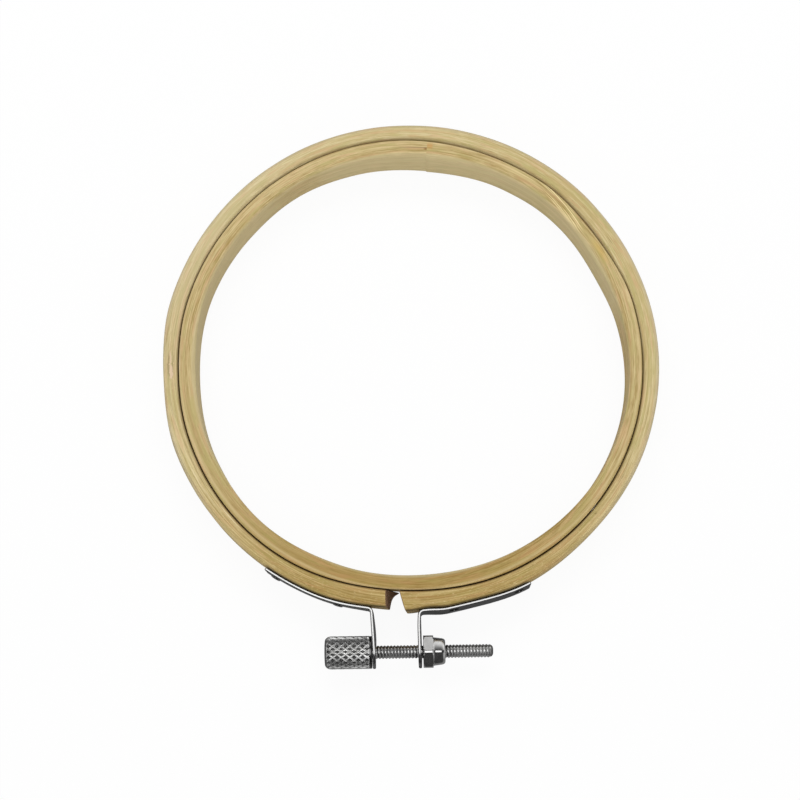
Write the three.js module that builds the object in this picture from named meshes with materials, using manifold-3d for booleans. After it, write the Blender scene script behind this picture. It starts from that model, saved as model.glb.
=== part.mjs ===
// Screw-clamped embroidery hoop, in millimetres, lying flat with +Z up.
// The two rings share an upright axis. The clamp stands out on the -Y side, with its screw along X
// and the knob towards -X. The origin is under the middle of the whole hoop, on its rest plane.
import * as THREE from 'three';
import { mergeVertices } from 'three/addons/utils/BufferGeometryUtils.js';
import Module from 'manifold-3d';

const wasm = await Module();
wasm.setup();

// Inner ring: one bamboo strip, bent round and lapped
const ringHeight = 10;
const innerRingOuterRadius = 50.8;
const innerRingWall = 3.45;
const innerRingEdge = 0.7;
const lapAngle = THREE.MathUtils.degToRad(85);
const lapNotchWidth = 0.5;
const lapNotchReach = 1.6;
const lapNotchDepth = 1.2;

// Outer ring: a bamboo strip with a rounded outside, split where the clamp closes it
const ringClearance = 0.15;
const outerRingWall = 3.7;
const outerRingOutsideEdge = 1.3;
const outerRingInsideEdge = 0.5;
const clampOffset = -3.4;
const splitLeft = 2.5;
const splitRight = 1.2;
const splitSlant = THREE.MathUtils.degToRad(15);
const ringSegments = 96;
const edgeSteps = 3;

// Brackets: plated strip, a foot round the ring and an ear that the screw passes
const stripThickness = 0.65;
const stripWidth = 7;
const bendRadius = 0.6;
const footLength = 24;
const seatGap = 0.1;
const earSpace = 9.2;
const screwReach = 8.35;
const earHoleClearance = 0.3;
const arcSteps = 12;

// Brads: two hold each foot to the wood
const bradFromBend = 6.5;
const bradFromTip = 3;
const bradHeadRadius = 1.1;
const bradHeadHeight = 0.25;
const bradHeadRim = 0.12;
const bradHeadFlat = 0.8;
const bradShankRadius = 0.5;
const bradDepth = 2.4;
const bradClearance = 0.15;
const bradSides = 12;

// Screw: a knurled knob pressed on the plain head of a threaded rod
const threadRadius = 1.4;
const threadDepth = 0.35;
const threadPitch = 0.7;
const threadSides = 10;
const rodReach = 14.95;
const rodTipRound = 0.8;
const shankLength = 7.4;
const knobRadius = 3.5;
const knobLength = 10.1;
const knobChamfer = 0.55;
const knurlDepth = 0.3;
const knurlRows = 5;
const knurlColumns = 16;
const pressClearance = 0.08;
const faceGap = 0.1;

// Lock nut: a hexagon that seats on the right ear, with a round crimped collar outside it
const nutAcrossFlats = 6.8;
const nutHexLength = 2.6;
const nutCornerChamfer = 0.4;
const collarLength = 2.4;
const collarRadius = 2.8;
const collarTaper = 0.35;
const nutBoreClearance = 0.5;
const nutTurn = THREE.MathUtils.degToRad(4);
const roundSides = 24;

// Places that follow from the sizes
const innerRingInnerRadius = innerRingOuterRadius - innerRingWall;
const outerRingInnerRadius = innerRingOuterRadius + ringClearance;
const outerRingOuterRadius = outerRingInnerRadius + outerRingWall;
const middleHeight = ringHeight / 2;
const footInnerRadius = outerRingOuterRadius + seatGap;
const footOuterRadius = footInnerRadius + stripThickness;
const screwY = -(outerRingOuterRadius + screwReach);
const earMiddle = (earSpace + stripThickness) / 2;
const leftEarX = clampOffset - earMiddle;
const rightEarX = clampOffset + earMiddle;
const knobFaceX = leftEarX - stripThickness / 2 - faceGap;
const nutFaceX = rightEarX + stripThickness / 2 + faceGap;
const rodTipX = rightEarX + stripThickness / 2 + rodReach;
const earHoleRadius = threadRadius + earHoleClearance;
const bradPlaces = [bradFromBend, footLength - bradFromTip];
const bradHoleRadius = bradShankRadius + bradClearance;

const bambooPale = { color: 0xd0b985, roughness: 0.55, metalness: 0 };
const bambooGold = { color: 0xc6ab6f, roughness: 0.55, metalness: 0 };
const brightPlate = { color: 0xc9cacc, roughness: 0.22, metalness: 1 };
const dullPlate = { color: 0xaeb0b2, roughness: 0.38, metalness: 1 };

// A closed geometry as a solid that can be cut and joined
function solidFrom(geometry) {
  const bare = geometry.index ? geometry.toNonIndexed() : geometry.clone();
  bare.deleteAttribute('normal');
  bare.deleteAttribute('uv');
  const merged = mergeVertices(bare, 1e-5);
  const vertProperties = new Float32Array(merged.attributes.position.array);
  const triVerts = new Uint32Array(merged.index.array);
  return new wasm.Manifold(new wasm.Mesh({ numProp: 3, vertProperties, triVerts }));
}

function geometryFrom(solid) {
  const mesh = solid.getMesh();
  const geometry = new THREE.BufferGeometry();
  geometry.setAttribute('position', new THREE.BufferAttribute(mesh.vertProperties, 3));
  geometry.setIndex(new THREE.BufferAttribute(mesh.triVerts, 1));
  geometry.computeVertexNormals();
  return geometry;
}

function pieceFrom(name, solid, look) {
  const mesh = new THREE.Mesh(geometryFrom(solid), new THREE.MeshStandardMaterial(look));
  mesh.name = name;
  return mesh;
}

// A quarter round of the profile, about a centre, from one angle on for 90 degrees
function quarterRound(centreX, centreY, radius, startAngle) {
  const points = [];
  for (let step = 0; step <= edgeSteps; step++) {
    const angle = startAngle + (Math.PI / 2) * (step / edgeSteps);
    points.push(new THREE.Vector2(centreX + radius * Math.cos(angle), centreY + radius * Math.sin(angle)));
  }
  return points;
}

// A ring about the upright axis, its section a rectangle with rounded corners
function ringSolid(innerRadius, outerRadius, insideEdge, outsideEdge) {
  const profile = [
    ...quarterRound(outerRadius - outsideEdge, outsideEdge, outsideEdge, -Math.PI / 2),
    ...quarterRound(outerRadius - outsideEdge, ringHeight - outsideEdge, outsideEdge, 0),
    ...quarterRound(innerRadius + insideEdge, ringHeight - insideEdge, insideEdge, Math.PI / 2),
    ...quarterRound(innerRadius + insideEdge, insideEdge, insideEdge, Math.PI),
  ];
  profile.push(profile[0].clone());
  return solidFrom(new THREE.LatheGeometry(profile, ringSegments).rotateX(Math.PI / 2));
}

// A flat outline in X and Y, given its height along Z
function plate(shape, height) {
  return new THREE.ExtrudeGeometry(shape, { depth: height, bevelEnabled: false, curveSegments: arcSteps });
}

function polygon(points) {
  return new THREE.Shape(points.map(([x, y]) => new THREE.Vector2(x, y)));
}

// A pin of one radius about a line that leaves the ring's axis at an angle, halfway up the ring
function radialPin(angle, fromRadius, toRadius, radius) {
  const pin = new THREE.CylinderGeometry(radius, radius, toRadius - fromRadius, bradSides);
  pin.translate(0, (fromRadius + toRadius) / 2, 0);
  pin.rotateZ(angle - Math.PI / 2);
  pin.translate(0, 0, middleHeight);
  return solidFrom(pin);
}

function innerRing() {
  const ring = ringSolid(innerRingInnerRadius, innerRingOuterRadius, innerRingEdge, innerRingEdge);
  const notch = new THREE.BoxGeometry(lapNotchReach * 2, lapNotchWidth, lapNotchDepth * 2);
  notch.translate(innerRingInnerRadius, 0, ringHeight);
  notch.rotateZ(lapAngle);
  return pieceFrom('inner_ring', ring.subtract(solidFrom(notch)), bambooPale);
}

function outerRing() {
  const ring = ringSolid(
    outerRingInnerRadius, outerRingOuterRadius, outerRingInsideEdge, outerRingOutsideEdge);
  const wallMiddleY = -(outerRingInnerRadius + outerRingOuterRadius) / 2;
  const reach = outerRingWall;
  const lean = Math.tan(splitSlant) * reach;
  const leftX = clampOffset - splitLeft;
  const rightX = clampOffset + splitRight;
  const gap = plate(polygon([
    [leftX, wallMiddleY + reach],
    [leftX, wallMiddleY - reach],
    [rightX + lean, wallMiddleY - reach],
    [rightX - lean, wallMiddleY + reach],
  ]), ringHeight * 2);
  gap.translate(0, 0, -ringHeight / 2);
  let body = ring.subtract(solidFrom(gap));
  for (const angle of [...bradAngles(-1), ...bradAngles(1)]) {
    const holeFloor = outerRingOuterRadius - bradDepth - bradClearance;
    body = body.subtract(radialPin(angle, holeFloor, footOuterRadius, bradHoleRadius));
  }
  return pieceFrom('outer_ring', body, bambooGold);
}

// The bend's centre: side is -1 for the left bracket and 1 for the right one
function bendCentre(side) {
  const earX = side < 0 ? leftEarX : rightEarX;
  const x = earX + side * (stripThickness / 2 + bendRadius);
  const radius = footOuterRadius + bendRadius;
  return new THREE.Vector2(x, -Math.sqrt(radius * radius - x * x));
}

function footStartAngle(side) {
  const centre = bendCentre(side);
  return Math.atan2(centre.y, centre.x);
}

// The angles at which a foot's brads stand, seen from the ring's axis
function bradAngles(side) {
  return bradPlaces.map((place) => footStartAngle(side) + (side * place) / footInnerRadius);
}

// A strip bent into a foot that follows the ring and an ear that stands out from it
function bracket(name, side) {
  const earX = side < 0 ? leftEarX : rightEarX;
  const centre = bendCentre(side);
  const start = footStartAngle(side);
  const tip = start + (side * footLength) / footInnerRadius;
  const towardsRing = start + Math.PI;
  const towardsEar = side < 0 ? 0 : Math.PI;
  const clockwise = side > 0;
  const innerFace = earX - (side * stripThickness) / 2;
  const outerFace = earX + (side * stripThickness) / 2;

  const outline = new THREE.Shape();
  outline.moveTo(innerFace, centre.y - bendRadius);
  outline.lineTo(innerFace, centre.y);
  outline.absarc(centre.x, centre.y, bendRadius + stripThickness, towardsEar, towardsRing, clockwise);
  outline.absarc(0, 0, footInnerRadius, start, tip, !clockwise);
  outline.absarc(0, 0, footOuterRadius, tip, start, clockwise);
  outline.absarc(centre.x, centre.y, bendRadius, towardsRing, towardsEar, !clockwise);
  outline.lineTo(outerFace, centre.y - bendRadius);
  outline.closePath();
  const foot = plate(outline, stripWidth);
  foot.translate(0, 0, middleHeight - stripWidth / 2);

  const earEnd = stripWidth / 2;
  const earShape = new THREE.Shape();
  earShape.moveTo(earEnd, centre.y);
  earShape.lineTo(-earEnd, centre.y);
  earShape.lineTo(-earEnd, screwY);
  earShape.absarc(0, screwY, earEnd, Math.PI, 2 * Math.PI, false);
  earShape.closePath();
  const hole = new THREE.Path();
  hole.absarc(0, screwY, earHoleRadius, 0, 2 * Math.PI, true);
  earShape.holes.push(hole);
  const ear = plate(earShape, stripThickness);
  ear.rotateY(Math.PI / 2);
  ear.translate(earX - stripThickness / 2, 0, middleHeight);

  let body = solidFrom(foot).add(solidFrom(ear));
  for (const angle of bradAngles(side)) {
    body = body.subtract(radialPin(
      angle, footInnerRadius - stripThickness, footOuterRadius + stripThickness, bradHoleRadius));
  }
  return pieceFrom(name, body, brightPlate);
}

// A brad along its own +Y, its head's underside at 0
function brad(name, angle) {
  const shankEnd = -(faceGap + stripThickness + seatGap + bradDepth);
  const profile = [
    [0, shankEnd],
    [bradShankRadius / 2, shankEnd + bradShankRadius / 2],
    [bradShankRadius, shankEnd + bradShankRadius],
    [bradShankRadius, 0],
    [bradHeadRadius, 0],
    [bradHeadRadius, bradHeadRim],
    [bradHeadFlat, bradHeadHeight],
    [0, bradHeadHeight],
  ].map(([x, y]) => new THREE.Vector2(x, y));
  const piece = pieceFrom(name, solidFrom(new THREE.LatheGeometry(profile, bradSides)), dullPlate);
  const seat = footOuterRadius + faceGap;
  piece.position.set(seat * Math.cos(angle), seat * Math.sin(angle), middleHeight);
  piece.rotation.z = angle - Math.PI / 2;
  return piece;
}

// A closed body about +Y from rows of points: each row has a height and a radius for each column,
// and the first and last rows shrink to one point on the axis. Each four-sided cell is cut along
// the diagonal that lies nearer the axis, so that alternate high points become pyramids.
function rowedSolid(rows, columns) {
  const positions = [0, rows[0].y, 0];
  for (const row of rows) {
    for (let column = 0; column < columns; column++) {
      const angle = (2 * Math.PI * column) / columns;
      const radius = row.radius(column);
      positions.push(radius * Math.cos(angle), row.y, -radius * Math.sin(angle));
    }
  }
  positions.push(0, rows[rows.length - 1].y, 0);
  const last = positions.length / 3 - 1;
  const at = (row, column) => 1 + row * columns + (column % columns);
  const index = [];
  for (let column = 0; column < columns; column++) {
    index.push(0, at(0, column + 1), at(0, column));
    index.push(last, at(rows.length - 1, column), at(rows.length - 1, column + 1));
    for (let row = 0; row < rows.length - 1; row++) {
      const a = at(row, column);
      const b = at(row, column + 1);
      const c = at(row + 1, column + 1);
      const d = at(row + 1, column);
      const next = (column + 1) % columns;
      const rising = rows[row].radius(column) + rows[row + 1].radius(next);
      const falling = rows[row].radius(next) + rows[row + 1].radius(column);
      if (rising < falling) {
        index.push(a, b, c, a, c, d);
      } else {
        index.push(a, b, d, b, c, d);
      }
    }
  }
  const geometry = new THREE.BufferGeometry();
  geometry.setAttribute('position', new THREE.Float32BufferAttribute(positions, 3));
  geometry.setIndex(index);
  return solidFrom(geometry);
}

// The knob: a barrel with a crossed diamond knurl, blind-bored from its ear end for the rod
function knurledKnob() {
  const valleyRadius = knobRadius - knurlDepth;
  const boreRadius = threadRadius + pressClearance;
  const boreFloor = knobLength - shankLength - pressClearance;
  const rowCount = knurlRows * 2;
  const plain = (y, radius) => ({ y, radius: () => radius });
  const rows = [plain(0, valleyRadius - knobChamfer), plain(knobChamfer, valleyRadius)];
  for (let row = 1; row < rowCount; row++) {
    rows.push({
      y: knobChamfer + ((knobLength - 2 * knobChamfer) * row) / rowCount,
      radius: (column) => ((column + row) % 2 === 0 ? knobRadius : valleyRadius),
    });
  }
  rows.push(plain(knobLength - knobChamfer, valleyRadius));
  rows.push(plain(knobLength, valleyRadius - knobChamfer));
  rows.push(plain(knobLength, boreRadius));
  rows.push(plain(boreFloor, boreRadius));
  const knob = pieceFrom('knurled_knob', rowedSolid(rows, knurlColumns * 2), dullPlate);
  knob.position.y = knobFaceX - knobLength;
  return knob;
}

// A right-hand thread about +Y: one root line and one crest line wind up side by side
function helixSolid(length) {
  const turns = Math.ceil(length / threadPitch) + 1;
  const count = turns * threadSides;
  const rootRadius = threadRadius - threadDepth;
  const positions = [];
  const pointAt = (step, radius, rise) => {
    const angle = (2 * Math.PI * step) / threadSides;
    const y = (threadPitch * step) / threadSides + rise;
    positions.push(radius * Math.cos(angle), y, -radius * Math.sin(angle));
  };
  for (let step = 0; step <= count + threadSides; step++) pointAt(step, rootRadius, 0);
  for (let step = 0; step <= count; step++) pointAt(step, threadRadius, threadPitch / 2);
  const crest = (step) => count + threadSides + 1 + step;
  const index = [];
  for (let step = 0; step < count; step++) {
    const above = step + threadSides;
    index.push(step, step + 1, crest(step + 1), step, crest(step + 1), crest(step));
    index.push(crest(step), crest(step + 1), above + 1, crest(step), above + 1, above);
  }
  const fan = (firstRoot, ridge, y, flipped) => {
    const centre = positions.length / 3;
    positions.push(0, y, 0);
    const loop = [];
    for (let step = 0; step <= threadSides; step++) loop.push(firstRoot + step);
    loop.push(ridge);
    loop.forEach((from, place) => {
      const to = loop[(place + 1) % loop.length];
      index.push(centre, flipped ? from : to, flipped ? to : from);
    });
  };
  fan(0, crest(0), 0, false);
  fan(count, crest(count), threadPitch * (turns + 1), true);
  const geometry = new THREE.BufferGeometry();
  geometry.setAttribute('position', new THREE.Float32BufferAttribute(positions, 3));
  geometry.setIndex(index);
  geometry.translate(0, -threadPitch, 0);
  return solidFrom(geometry);
}

// The rod: a plain head that the knob holds, then the thread. The envelope stands clear of the
// thread all along and closes on it only at the rounded tip.
function threadedRod() {
  const length = rodTipX - knobFaceX;
  const clear = threadRadius + threadDepth;
  const profile = [new THREE.Vector2(0, 0), new THREE.Vector2(clear, 0)];
  profile.push(new THREE.Vector2(clear, length - rodTipRound));
  for (let step = 0; step <= edgeSteps; step++) {
    const angle = (Math.PI / 2) * (step / edgeSteps);
    profile.push(new THREE.Vector2(
      threadRadius - rodTipRound + rodTipRound * Math.cos(angle),
      length - rodTipRound + rodTipRound * Math.sin(angle)));
  }
  profile.push(new THREE.Vector2(0, length));
  const envelope = solidFrom(new THREE.LatheGeometry(profile, threadSides));
  const shank = new THREE.CylinderGeometry(threadRadius, threadRadius, shankLength + threadDepth, roundSides);
  shank.translate(0, (threadDepth - shankLength) / 2, 0);
  const body = helixSolid(length + threadPitch).intersect(envelope).add(solidFrom(shank));
  const rod = pieceFrom('threaded_rod', body, brightPlate);
  rod.position.y = knobFaceX;
  return rod;
}

// The lock nut: a hexagon with its outer corners turned off, a tapered collar and a clear bore
function lockNut() {
  const cornerRadius = nutAcrossFlats / Math.sqrt(3);
  const hexagon = new THREE.CylinderGeometry(cornerRadius, cornerRadius, nutHexLength, 6);
  hexagon.rotateY(nutTurn);
  hexagon.translate(0, nutHexLength / 2, 0);
  const turned = new THREE.LatheGeometry([
    [0, 0],
    [cornerRadius - nutCornerChamfer, 0],
    [cornerRadius, nutCornerChamfer],
    [cornerRadius, nutHexLength - nutCornerChamfer],
    [cornerRadius - nutCornerChamfer, nutHexLength],
    [0, nutHexLength],
  ].map(([x, y]) => new THREE.Vector2(x, y)), roundSides);
  const nutLength = nutHexLength + collarLength;
  const collar = new THREE.LatheGeometry([
    [0, nutHexLength / 2],
    [collarRadius, nutHexLength / 2],
    [collarRadius, nutHexLength + collarLength / 2],
    [collarRadius - collarTaper, nutLength],
    [0, nutLength],
  ].map(([x, y]) => new THREE.Vector2(x, y)), roundSides);
  const boreRadius = threadRadius + nutBoreClearance;
  const bore = new THREE.CylinderGeometry(boreRadius, boreRadius, nutLength * 2, roundSides);
  const body = solidFrom(hexagon).intersect(solidFrom(turned)).add(solidFrom(collar)).subtract(solidFrom(bore));
  const nut = pieceFrom('lock_nut', body, brightPlate);
  nut.position.y = nutFaceX;
  return nut;
}

// Everything on the screw's axis: its own +Y runs along the hoop's +X
const screwLine = new THREE.Group();
screwLine.rotation.z = -Math.PI / 2;
screwLine.position.set(0, screwY, middleHeight);
screwLine.add(knurledKnob(), threadedRod(), lockNut());

const rings = new THREE.Group();
rings.add(innerRing(), outerRing(), screwLine);
for (const [side, word] of [[-1, 'left'], [1, 'right']]) {
  rings.add(bracket(`${word}_bracket`, side));
  bradAngles(side).forEach((angle, place) => rings.add(brad(`${word}_brad_${place + 1}`, angle)));
}

// The rings' axis stands behind the origin, so that the whole hoop is centred on it
const bounds = new THREE.Box3().setFromObject(rings);
rings.position.y = -(bounds.min.y + bounds.max.y) / 2;

const hoop = new THREE.Group();
hoop.add(rings);

export default hoop;
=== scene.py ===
"""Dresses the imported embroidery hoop: two bamboo rings, a plated screw clamp, a pale floor and soft light.

Sizes are in millimetres until a mesh is made, and angles in degrees only where a name says so.
Everything is worked out about the upright axis of the rings, which stands AXIS_Y behind the origin of
the part, and is moved there when its mesh is made.
"""
import math

import bpy
import numpy as np
from mathutils import Matrix, Vector


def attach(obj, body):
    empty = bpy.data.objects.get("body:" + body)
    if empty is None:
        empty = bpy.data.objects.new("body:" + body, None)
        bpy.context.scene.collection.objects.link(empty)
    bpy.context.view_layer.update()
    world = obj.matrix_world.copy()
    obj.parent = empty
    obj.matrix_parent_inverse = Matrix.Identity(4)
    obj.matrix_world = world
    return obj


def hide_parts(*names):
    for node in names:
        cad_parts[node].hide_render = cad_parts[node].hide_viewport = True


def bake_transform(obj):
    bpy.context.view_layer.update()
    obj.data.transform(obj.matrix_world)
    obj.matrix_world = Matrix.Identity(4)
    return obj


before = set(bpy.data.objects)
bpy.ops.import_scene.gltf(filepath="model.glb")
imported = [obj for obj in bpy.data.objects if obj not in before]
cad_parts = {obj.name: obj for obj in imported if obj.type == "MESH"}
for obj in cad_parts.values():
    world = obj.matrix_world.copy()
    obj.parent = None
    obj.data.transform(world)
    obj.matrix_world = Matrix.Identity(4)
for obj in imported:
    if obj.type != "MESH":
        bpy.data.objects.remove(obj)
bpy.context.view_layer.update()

MM = 0.001
AXIS_Y = 5.93727
FULL_TURN = 2 * math.pi

# Rings
RING_HEIGHT = 10.0
INNER_RING = (47.35, 50.8)
OUTER_RING = (50.95, 54.65)
INNER_RING_INSIDE_EDGE = 0.9
INNER_RING_OUTSIDE_EDGE = 0.4
OUTER_RING_INSIDE_EDGE = 0.75
OUTER_RING_OUTSIDE_EDGE = 1.3
WALL_MIDDLE = sum(OUTER_RING) / 2
LAP_ANGLE = math.radians(84.6)
SCARF_ANGLE = math.radians(46.0)
SPLIT_LEFT_X = -5.9
SPLIT_RIGHT_X = -2.4
SPLIT_SLANT = math.radians(15)
SPLIT_ANGLE = math.atan2(-WALL_MIDDLE, (SPLIT_LEFT_X + SPLIT_RIGHT_X) / 2)
END_EDGE = 0.18
LEFT_END_PARED = 0.55
LEFT_CUT_REACH = 0.85
LEFT_CUT_WEDGE = 2.2
RIGHT_END_UNDERCUT = 0.6
GROOVE_LEAN = 0.5
OUTSIDE_LEAN = 0.35
LAP_STEP = 0.15
SCARF_SANDED = 0.7
SNUG = 0.06
OUTER_RING_LENGTH = 330.0
INNER_RING_LENGTH = 308.0

# Where the strips lie off the true circle: middle and half width in degrees, and depth inwards
GROOVE_BENDS = ((268, 30, 0.5), (229, 36, -0.38), (318, 56, -0.33), (150, 44, 0.26), (182, 18, 0.3))
OUTSIDE_BENDS = (
    (148, 36, 0.28), (183, 18, 0.68), (27, 26, 0.1), (312, 26, 0.2), (272.6, 5.2, 0.45), (283, 14.5, 0.6),
    (252, 14, -0.3))
LOOSE_BENDS = ((34, 20, 0.8), (64, 34, 0.48))
INSIDE_BENDS = (
    (346, 44, -0.95), (312, 30, -0.35), (274, 22, 0.25), (228, 22, -0.44), (182, 24, 0.5),
    (121, 18, -0.38), (84, 22, 0.45), (50, 12, -0.2), (28, 16, 0.4))

# Where the inner ring is snug in the groove: middle and half width in degrees, and share of SNUG to add
SNUG_PLACES = ((268, 50, -1), (219, 16, 1), (322, 16, 1))

# Clamp
STRIP_THICKNESS = 0.65
STRIP_WIDTH = 7.0
STRIP_EDGE = 0.24
BEND_RADIUS = 0.6
FOOT_LENGTH = 24.0
SEAT_GAP = 0.1
LEFT_STAND_OFF = 0.02
RIGHT_SPLAY = 0.3
EAR_TILT = 0.3
LEFT_EAR_X = -8.52
RIGHT_EAR_X = 1.42
LEFT_EAR_LEAN = -0.055
RIGHT_EAR_LEAN = -0.015
SCREW_Y = -63.0
SCREW_Z = RING_HEIGHT / 2
EAR_HOLE_RADIUS = 1.7
BRAD_PLACES = (6.5, 21.0)
BRAD_HEAD_RADIUS = 1.1
BRAD_HEAD_HEIGHT = 0.25
BRAD_SHANK_RADIUS = 0.5
BRAD_DEPTH = 2.4
FACE_GAP = 0.1

# Screw and nut
KNOB_X = (-19.05, -8.95)
KNOB_RADIUS = 3.5
KNURL_DEPTH = 0.5
KNURL_PITCH = 1.8
KNURL_STARTS = 16
THREAD_RADIUS = 1.4
THREAD_DEPTH = 0.18
THREAD_PITCH = 0.7
ROD_TIP_X = 16.8
NUT_X = (1.95, 6.6)
NUT_HEX_LENGTH = 2.1
NUT_FLAT = 3.4
NUT_TURN = math.radians(-4)
COLLAR_RADIUS = 2.8
COLLAR_LIP_START = 1.95
COLLAR_LIP = (0.6, 0.55)
NUT_BORE = 1.9

# Floor and studio
FLOOR_WHITE = 0.93
FLOOR_IN_METAL = 0.2
SKY_FRONT = 0.96
SKY_BACK = 0.3
ROOM = 0.045
BACKDROP = 1.0
CEILING = 2.2
SIDES = 0.8

# Places of marks, in millimetres along the strips
NODE_ALONG = (math.radians(181.4) - SPLIT_ANGLE) / math.radians(357.7) * OUTER_RING_LENGTH
SPECK_ALONG = (math.radians(317.3 - 360) - SPLIT_ANGLE) / math.radians(357.7) * OUTER_RING_LENGTH
SCARF_ALONG = (LAP_ANGLE - SCARF_ANGLE) / FULL_TURN * INNER_RING_LENGTH
STREAK_ALONG = (LAP_ANGLE - math.radians(180 - 360)) / FULL_TURN * INNER_RING_LENGTH


# Surfaces

def new_piece(name, points, quads, triangles=None, corner_fibre=None, sharp=None):
    """A mesh object from points in ring millimetres, four-cornered faces and three-cornered ones.
    corner_fibre gives each face corner its place in the wood: along the strip, across it and up it."""
    placed = (points + np.array([0, AXIS_Y, 0])) * MM
    mesh = bpy.data.meshes.new(name)
    faces = quads.tolist() + ([] if triangles is None else triangles.tolist())
    mesh.from_pydata(placed.tolist(), [], faces)
    if corner_fibre is not None:
        attribute = mesh.attributes.new("fibre", "FLOAT_VECTOR", "CORNER")
        attribute.data.foreach_set("vector", corner_fibre.astype(np.float32).ravel())
    mesh.polygons.foreach_set("use_smooth", np.ones(len(faces), bool))
    if sharp is not None:
        mesh.set_sharp_from_angle(angle=math.radians(sharp))
    piece = bpy.data.objects.new(name, mesh)
    bpy.context.scene.collection.objects.link(piece)
    return piece


def volume_closed(points, quads, triangles):
    """Six times the volume inside the faces: the sum of a . (b x c) over their triangles."""
    halves = np.concatenate([quads[:, [0, 1, 2]], quads[:, [0, 2, 3]], triangles])
    a, b, c = (points[halves[:, k]] for k in range(3))
    return np.einsum("ij,ij->", a, np.cross(b, c))


def grid_corners(rows, columns, joined):
    """The row and the column of each corner of a grid's faces. Columns always join round."""
    row, column = np.meshgrid(np.arange(rows if joined else rows - 1), np.arange(columns), indexing="ij")
    after = (column + 1) % columns
    return (np.stack([row, row + 1, row + 1, row], -1).reshape(-1, 4),
            np.stack([column, column, after, after], -1).reshape(-1, 4))


def solid(name, points, fibre=None, joined=False, sharp=None):
    """A closed solid from a grid of points, rows by columns by 3, whose rows each go once round it.
    Where joined is true the last row joins the first, and fibre has one row more than points, so that
    the wood's length runs on to the joint. Otherwise each end row is closed to its middle."""
    rows, columns = points.shape[:2]
    corner_row, corner_column = grid_corners(rows, columns, joined)
    quads = (corner_row % rows) * columns + corner_column
    places = corner_row * columns + corner_column
    triangles = np.zeros((0, 3), int)
    flat_points = points.reshape(-1, 3)
    table = None if fibre is None else fibre.reshape(-1, 3)
    if not joined:
        column = np.arange(columns)
        after = (column + 1) % columns
        start, last = rows * columns, (rows - 1) * columns
        triangles = np.concatenate([
            np.stack([np.full(columns, start), column, after], -1),
            np.stack([np.full(columns, start + 1), last + after, last + column], -1),
        ])
        flat_points = np.concatenate([flat_points, points[[0, -1]].mean(axis=1)])
        if fibre is not None:
            table = np.concatenate([table, fibre[[0, -1]].mean(axis=1)])
    if volume_closed(flat_points, quads, triangles) < 0:
        quads, places, triangles = quads[:, ::-1], places[:, ::-1], triangles[:, ::-1]
    corner_fibre = None
    if fibre is not None:
        corner_fibre = np.concatenate([table[places].reshape(-1, 3), table[triangles].reshape(-1, 3)])
    return new_piece(name, flat_points, quads, triangles, corner_fibre, sharp)


def about_screw(x, radius, angle):
    """Points at a distance round the screw's axis, in ring millimetres; angle 0 points to the front."""
    return np.stack(np.broadcast_arrays(
        x, SCREW_Y - radius * np.cos(angle), SCREW_Z + radius * np.sin(angle)), -1)


def rise(value, low, high):
    """0 up to low and 1 from high on, with the ease 3t^2 - 2t^3 between."""
    share = np.clip((value - low) / (high - low), 0, 1)
    return share * share * (3 - 2 * share)


def swell(value, middle, half_width):
    """A raised cosine: 1 at the middle and 0 from half a width on."""
    share = np.clip(np.abs(value - middle) / half_width, 0, 1)
    return (1 + np.cos(math.pi * share)) / 2


# Rings

def from_split(angle):
    """Degrees round the rings from the split: 0 past its right end and 360 at its left end."""
    return np.degrees((angle - SPLIT_ANGLE) % FULL_TURN)


def waver(angle, seed, waves, height):
    """The gentle unevenness of a bent strip: a sum of sines with whole numbers of waves round it."""
    phases = np.random.default_rng(seed).uniform(0, FULL_TURN, len(waves))
    total = sum(np.sin(count * angle + phase) for count, phase in zip(waves, phases))
    return height * total / len(waves)


def bent(angle, bends):
    """How far a strip lies inside the true circle: a sum of raised cosines round it. A negative depth
    stands out."""
    around = np.degrees(angle)[..., None]
    middle, half_width, depth = np.array(bends).T
    away = (around - middle + 180) % 360 - 180
    return (depth * swell(away, 0, half_width)).sum(axis=-1)


def groove_lean(angle):
    """How far the groove's foot lies inside its head: most at the split."""
    around = np.degrees(angle) % 360
    return GROOVE_LEAN * swell(around, 268, 24)


def outside_lean(angle):
    """How far the foot of the outer ring's outside lies inside its head: most below the left foot."""
    around = np.degrees(angle) % 360
    return OUTSIDE_LEAN * swell(around, 250, 26)


def outside_radius(angle):
    """The outer ring's outside: its true radius less its bends, less what was pared off towards the
    left end, less a slight unevenness."""
    pared = LEFT_END_PARED * rise(from_split(angle), 334, 360)
    uneven = waver(angle, 4, (5, 8, 13, 21), 0.07)
    return OUTER_RING[1] - bent(angle, OUTSIDE_BENDS) - pared - np.maximum(uneven, 0)


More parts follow.
